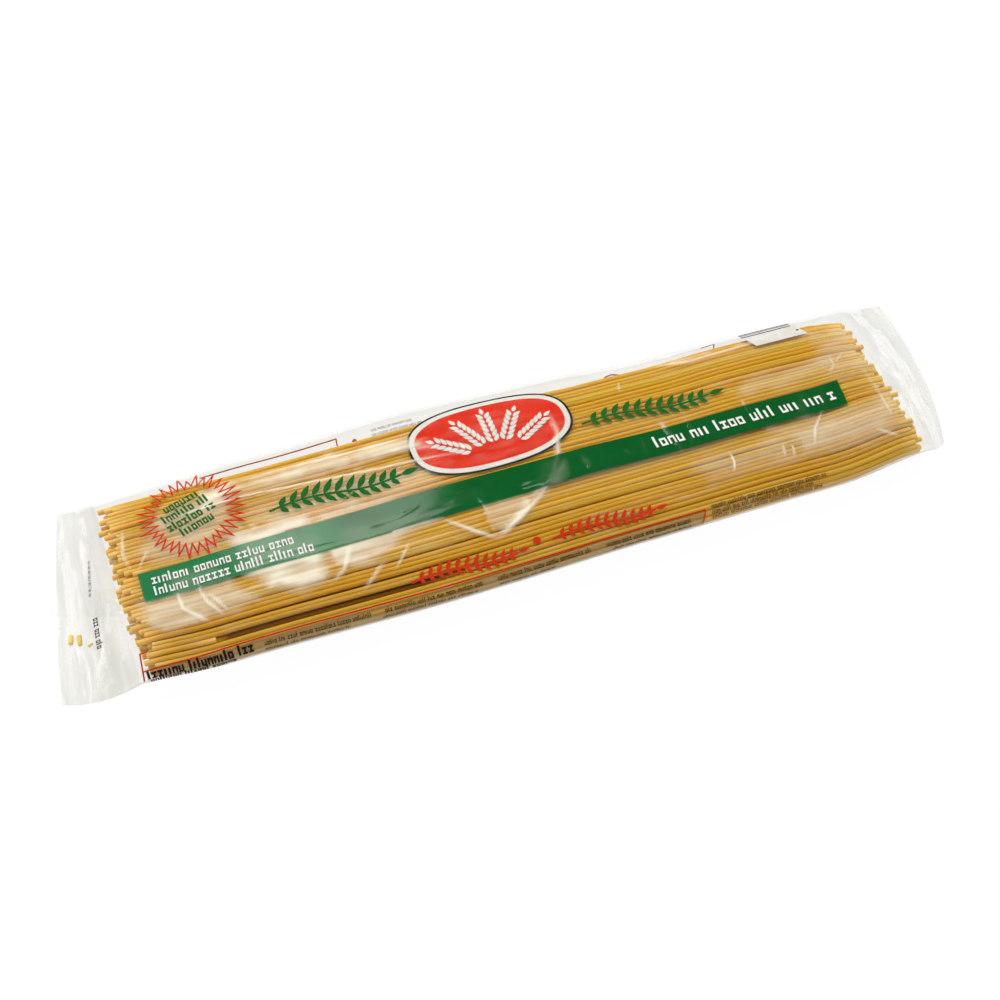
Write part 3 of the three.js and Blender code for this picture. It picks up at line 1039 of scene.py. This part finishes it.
def printed(film, name, shape, material, depth=INK_DEPTH):
    """Carries a flat shape onto the film, at a depth below it."""
    flat, faces = shape
    points = film.place(flat[:, 0], flat[:, 1], depth)
    return belongs(mesh_object(name, points, faces, material))


def patch(xs, across, flip=False):
    """The x and the across value of each point of a grid, and the faces between the points."""
    x, a = np.meshgrid(xs, across, indexing="ij")
    return x.ravel(), a.ravel(), grid_faces(len(xs), len(across), flip=flip)


def band_s(x, share):
    """The s of a place across the green band, from share 0 at its near edge to 1."""
    return BAND_LOW + (BAND_HIGH - BAND_LOW) * share + BAND_CLIMB * (x - BAND_LEFT)


def band():
    """The green band, drawn back along the near edge of its right half."""
    x, share, faces = patch(np.linspace(BAND_LEFT, BAND_RIGHT, 420), np.linspace(0, 1, 20))
    back = BAND_SLANT * (1 - share) * np.maximum(x, 0) / BAND_RIGHT
    return np.stack([x - back, band_s(x, share)], -1), faces


STAR_PLACE = (-95.8, 16.9)
STAR_TIPS = 34
STAR_LEAN = 16 # of the rows of marks on it, in degrees
STAR_TIP, STAR_VALLEY = 16.3, 11.2


def star_line(rng):
    """A zigzag ring of uneven points."""
    x, s = STAR_PLACE
    points = []
    for k in range(STAR_TIPS * 2):
        angle = math.pi * k / STAR_TIPS + rng.uniform(-0.02, 0.02)
        if k % 2:
            radius = STAR_VALLEY + rng.uniform(-0.5, 0.9)
        else:
            radius = STAR_TIP + rng.uniform(-2.0, 0.8)
        points.append((x + radius * math.cos(angle), s + radius * math.sin(angle)))
    return points


BADGE_PLACE = (1.2, 15.8)
BADGE_HALF = (26.9, 14.4)
BADGE_BORDER = 1.7
BADGE_LINE = 0.75
BADGE_SPACING = 0.55
EAR_GRAINS = 6
EAR_STEP = 2.0


def badge_oval(inset):
    return oval(*BADGE_PLACE, BADGE_HALF[0] - inset, BADGE_HALF[1] - inset, 96, 1.5, 2.5)


def badge_motif():
    """A fan of ears of grain that spread from one foot, as outlines."""
    outlines = []
    foot = np.array(BADGE_PLACE) - (0, 10.6)
    for lean, first in ((90, 6.5), (120, 7.2), (60, 7.2), (148, 9.5), (32, 9.5)):
        way = heading(lean)
        beside = 0.35 * heading(lean + 90)
        for k in range(EAR_GRAINS):
            for side in (-1, 1):
                start = foot + way * (first + EAR_STEP * k) + side * beside
                outlines.append(grain(*start, 3.3, 1.45, lean + side * 34))
        tip = foot + way * (first + EAR_STEP * EAR_GRAINS)
        outlines.append(grain(*tip, 3.0, 1.45, lean))
    return outlines


def band_print(film, rng, green, white):
    """The green band, with two rows of marks at its left and a larger one at its right."""
    printed(film, "print_green_band", band(), green, BAND_DEPTH)
    rows = [
        marks_row((-112.8, band_s(-112, 0.52)), (-67, band_s(-67, 0.52)), 3.6, rng, (5, 10)),
        marks_row((-112.8, band_s(-112, 0.12)), (-63.5, band_s(-63, 0.12)), 3.6, rng, (4, 9)),
        marks_row((48.5, band_s(48, 0.30)), (113.4, band_s(113, 0.30)), 5.2, rng, (2, 5)),
    ]
    printed(film, "print_band_marks", joined(rows), white)


def green_print(film, rng, ink):
    """Two sprigs beside the badge, and four rows of marks on the star."""
    shapes = [sprig(-73, -30.5, 5.2, 10.5, 0.8), sprig(29.6, 72.5, 6.2, 9.8, 0.8)]
    for length, offset in ((12.5, 5.0), (17.0, 1.3), (17.5, -2.6), (12.5, -6.4)):
        middle = np.array(STAR_PLACE) + offset * heading(STAR_LEAN + 90)
        half = length / 2 * heading(STAR_LEAN)
        shapes.append(marks_row(middle - half, middle + half, 3.5, rng, (6, 9), bold=0.05))
    printed(film, "print_green_marks", joined(shapes), ink)


def panel_print(film):
    """The tinted strip behind the small marks along the near side."""
    x, share, faces = patch(np.linspace(-121.6, 54.8, 180), np.linspace(0, 1, 12), flip=True)
    s = -33.2 - 0.004 * (x + 121) - 8.5 * share
    printed(film, "print_panel", (np.stack([x, s], -1), faces), panel_material(), PANEL_DEPTH)


def red_print(film, rng, ink):
    """The star, two sprigs with a dot between them, and the rules round the panel."""
    rule = [(-122.5, -34.2), (-112, -33.8), (-98, -33.0), (-36, -32.9), (10, -33.2), (55.3, -33.4)]
    shapes = [
        stroke(star_line(rng), RULE_WIDTH, closed=True),
        sprig(-39, -5, -31.2, 6.6, 0.75),
        sprig(6.5, 40.5, -30.6, 6.6, 0.75),
        filled(oval(1.6, -27.4, 1.25, 1.25, 18), 0.8),
        stroke(rule, RULE_WIDTH),
        stroke([(-119.4, -28.3), (-121.7, -28.3), (-122.6, -38.6)], RULE_WIDTH),
        stroke([(55.3, -33.4), (53.8, -37.8)], RULE_WIDTH),
    ]
    printed(film, "print_red_marks", joined(shapes), ink, OUTER_INK_DEPTH)


def badge(film, black, white, red):
    """A plain oval badge, in layers from its dark outline up to its motif."""
    for name, inset, ink, depth in (
        ("badge_outline", 0, black, 0.22),
        ("badge_border", BADGE_LINE, white, 0.18),
        ("badge_red", BADGE_LINE + BADGE_BORDER, red, 0.14),
    ):
        printed(film, name, filled(badge_oval(inset), BADGE_SPACING), ink, depth)
    motif = joined([filled(outline, BADGE_SPACING) for outline in badge_motif()])
    printed(film, "badge_motif", motif, white, MOTIF_DEPTH)


# Rows of faint marks on the panel and to its right: x from and to, and s.
FAINT_ROWS = [
    (-86.0, -52.0, -34.9), (-86.0, -60.0, -37.1), (-49.0, -18.0, -34.9), (-50.0, -20.0, -37.1),
    (-13.5, 17.0, -35.0), (-13.0, 6.0, -37.2), (22.0, 50.0, -35.2), (24.0, 51.0, -37.4),
    (57.5, 97.0, -32.8), (57.3, 93.0, -34.6), (57.1, 95.0, -36.4),
]


def small_print(film, rng, black, brown):
    """Dark and faint marks on the panel, and a row of each on the left fin."""
    fine = [
        marks_row((-121.2, -37.4), (-88.5, -36.6), 3.4, rng, (6, 10), bold=0.06),
        marks_row((-120.6, -39.9), (-95, -39.2), 2.4, rng, (6, 10), bold=0.06),
    ]
    faint = []
    for x_from, x_to, s in FAINT_ROWS:
        faint.append(marks_row((x_from, s - 0.8), (x_to, s - 0.9), 1.6, rng, (3, 10)))
    fine.append(marks_row((-129.6, 11.5), (-132, -2.2), 1.0, rng, (1, 4), bold=0.02))
    faint.append(marks_row((-132.4, -9.8), (-133.4, -21.6), 2.0, rng, (1, 4), bold=0.02))
    printed(film, "print_fine_marks", joined(fine), black, OUTER_INK_DEPTH)
    printed(film, "print_faint_marks", joined(faint), brown, OUTER_INK_DEPTH)


def corner_label(film, black):
    """The white corner at the far right, with dark bars and a dot."""
    corners = [(92.8, 34.9), (93.6, 30.8), (96, 25.4), (115.6, 25.6), (113, 31.2), (112.6, 35.2)]
    bars = ((31.6, 0.5), (32.9, 0.35), (33.9, 0.6))
    marks = [stroke([(93, s), (112, s + 0.3)], width) for s, width in bars]
    marks.append(filled(oval(112.9, 28.5, 0.55, 0.4, 12), 0.5))
    # The label's white is painted darker than the white ink, as painted shade.
    printed(film, "print_white_label", filled(corners), ink_material("label_white_painted_shade", (216, 213, 205)))
    printed(film, "print_label_bars", joined(marks), black, OUTER_INK_DEPTH)


def back_print(film, rng, red, grey):
    """The print of the underside, seen through the empty strip of film along the back."""
    lines = [
        stroke([(-90, 39.4), (-44.7, 39.8), (-44.9, 43.5)], 0.45),
        filled(oval(-39, 42.3, 0.8, 0.8, 12), 0.8),
        stroke([(45.5, 42), (46.8, 40.6), (49, 40.2), (51.2, 40.8)], 0.5),
        stroke([(80.5, 38.6), (85.2, 38.2), (85.4, 41.5)], 0.45),
    ]
    printed(film, "print_back_red", joined(lines), red)
    rows = [
        marks_row((-82, 42.4), (-48, 42.4), 1.2, rng),
        marks_row((-33, 40.2), (-19, 40.2), 1.0, rng),
        marks_row((-33, 41.8), (-16, 41.8), 1.0, rng),
        marks_row((58, 41.2), (80, 41.0), 1.0, rng),
    ]
    printed(film, "print_back_grey", joined(rows), grey)


def make_prints(film):
    """All the print. One seeded source of random numbers runs through its rows of marks."""
    rng = np.random.default_rng(31)
    white = ink_material("white_ink", (229, 228, 221))
    black = ink_material("black_ink", (38, 30, 26))
    # The green band's paler colour to the left is painted glare of the film over it.
    band_print(film, rng, ink_material("green_ink", (0, 94, 36), paler=(40, 126, 76)), white)
    green_print(film, rng, ink_material("soft_green_ink", (34, 100, 38)))
    panel_print(film)
    red_print(film, rng, ink_material("red_ink", (200, 52, 22)))
    badge(film, black, white, ink_material("badge_red_ink", (226, 50, 26)))
    small_print(film, rng, black, ink_material("faint_brown_ink", (58, 42, 24)))
    corner_label(film, black)
    pale_red, grey = (228, 128, 114), (150, 150, 146)
    back_print(film, rng, ink_material("pale_red_ink", pale_red), ink_material("grey_ink", grey))


def back_seam(film, material):
    """The overlap where the film is welded to itself along the underside."""
    x, across, faces = patch(np.linspace(-134, 138, 200), np.linspace(-5.5, 5.5, 6), flip=True)
    points = film.place(x, Wrap.full / 2 + across, SEAM_DEPTH)
    return belongs(mesh_object("back_seam", points, faces, material))


# Stage.

def make_camera():
    data = bpy.data.cameras.new("photo_camera")
    data.sensor_width = 36
    data.lens = CAMERA_LENS
    data.clip_start, data.clip_end = 0.01, 50
    camera = scene_object("photo_camera", data)
    a, e = CAMERA_AZIMUTH, CAMERA_ELEVATION
    right = Vector((math.cos(a), -math.sin(a), 0))
    up = Vector((math.sin(a) * math.sin(e), math.cos(a) * math.sin(e), math.cos(e)))
    back = -Vector((math.sin(a) * math.cos(e), math.cos(a) * math.cos(e), -math.sin(e)))
    turned = Matrix((right, up, back)).transposed().to_4x4()
    camera.matrix_world = Matrix.Translation(Vector(CAMERA_PLACE) * MM) @ turned
    bpy.context.scene.camera = camera


def area_light(name, place, target, size, strength):
    """A soft panel light at a place, facing a target. Places are in metres."""
    data = bpy.data.lights.new(name, "AREA")
    data.shape = "RECTANGLE"
    data.size, data.size_y = size
    data.energy = strength
    light = scene_object(name, data)
    light.location = place
    light.rotation_mode = "QUATERNION"
    light.rotation_quaternion = (Vector(target) - Vector(place)).to_track_quat("-Z", "Y")
    return light


def make_lights():
    overhead = area_light("overhead", (-0.1, 0.75, 0.9), (0, 0, 0), (1.0, 0.6), 9.8)
    overhead.visible_glossy = False
    area_light("veil", (0.02, 0.52, 0.78), (-0.05, 0, 0), (0.20, 0.16), 0.16)
    world = bpy.data.worlds.new("studio")
    world.use_nodes = True
    path = add_node(world, "LightPath").outputs
    inputs = {"Value": path["Is Glossy Ray"], "To Min": 0.70, "To Max": 0.05}
    lit = add_node(world, "MapRange", inputs)
    seen = add_node(world, "Math", {0: lit, 1: path["Is Camera Ray"]}, operation="MAXIMUM")
    background = world.node_tree.nodes["Background"]
    background.inputs["Color"].default_value = (1, 1, 1, 1)
    world.node_tree.links.new(seen.outputs[0], background.inputs["Strength"])
    bpy.context.scene.world = world


def make_floor():
    """A white sweep that shows almost no shadow, as under bright studio light."""
    sweep = new_material("white_floor")
    matt = add_node(sweep, "BsdfDiffuse", {"Color": (0.8, 0.8, 0.8, 1)})
    glow = add_node(sweep, "Emission", {"Strength": 1.02})
    path = add_node(sweep, "LightPath").outputs
    amount = add_node(sweep, "Math", {0: path["Is Camera Ray"], 1: 0.95}, operation="MULTIPLY")
    surfaced(sweep, add_node(sweep, "MixShader", {0: amount, 1: matt, 2: glow}))
    half, low = 2500, -0.3
    corners = [(-half, -half, low), (half, -half, low), (half, half, low), (-half, half, low)]
    floor = mesh_object("floor", corners, [[0, 1, 2, 3]], sweep)


def build():
    make_camera()
    film = Film()
    clear = film_material()
    pasta = pasta_material()
    faces = grid_faces(*film.points.shape[:2], closed=True)
    values = {"painted_glare": film.painted_glare.ravel(), "tint_and_painted_shade": film.tint_and_painted_shade.ravel()}
    sheet = mesh_object("clear_film", film.points.reshape(-1, 3), faces, clear, values)
    belongs(sheet, stands_for_node=True)
    belongs(strands(pasta), stands_for_node=True)
    belongs(broken_bits(pasta))
    make_prints(film)
    back_seam(film, clear)
    make_floor()
    make_lights()
    scene = bpy.context.scene
    scene.view_settings.view_transform = "Standard"
    scene.cycles.transparent_max_bounces = 24


build()
